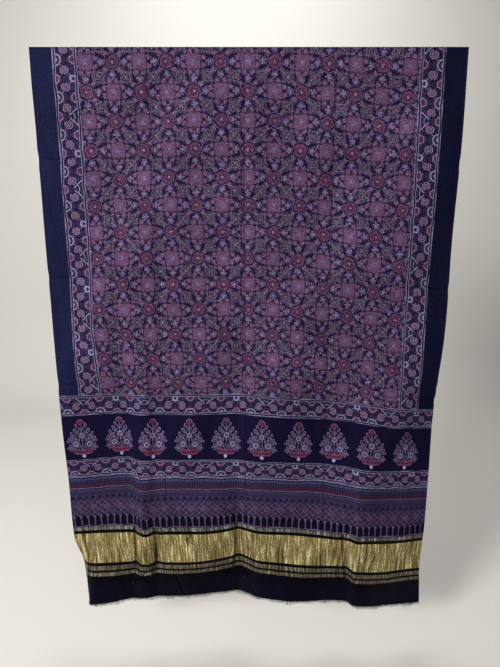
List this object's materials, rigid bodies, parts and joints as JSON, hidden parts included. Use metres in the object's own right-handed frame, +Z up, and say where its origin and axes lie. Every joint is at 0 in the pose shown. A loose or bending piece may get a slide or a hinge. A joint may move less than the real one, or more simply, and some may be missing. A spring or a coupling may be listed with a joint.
{
  "type": "ajrakh cloth",
  "caption": "Hanging length of block-printed ajrakh cloth with star field, side and cross borders, tree band, woven gold stripes and a short frayed end.",
  "frame": {"origin": "middle of the straight top edge from which the cloth hangs, at mid thickness", "axes": "+Z up along the hanging length, +X to the right as seen from the printed face, +Y away from the viewer, so the printed face looks towards -Y"},
  "size_m": [1.16, 0.0743, 1.6901],
  "materials": {
    "printed_cloth": "soft sheen, block printed, with woven metallic gold stripes",
    "navy_yarn": "matte frayed yarn"
  },
  "bodies": {
    "root": {"cloth": "printed_cloth", "fringe": "navy_yarn"}
  },
  "joints": []
}
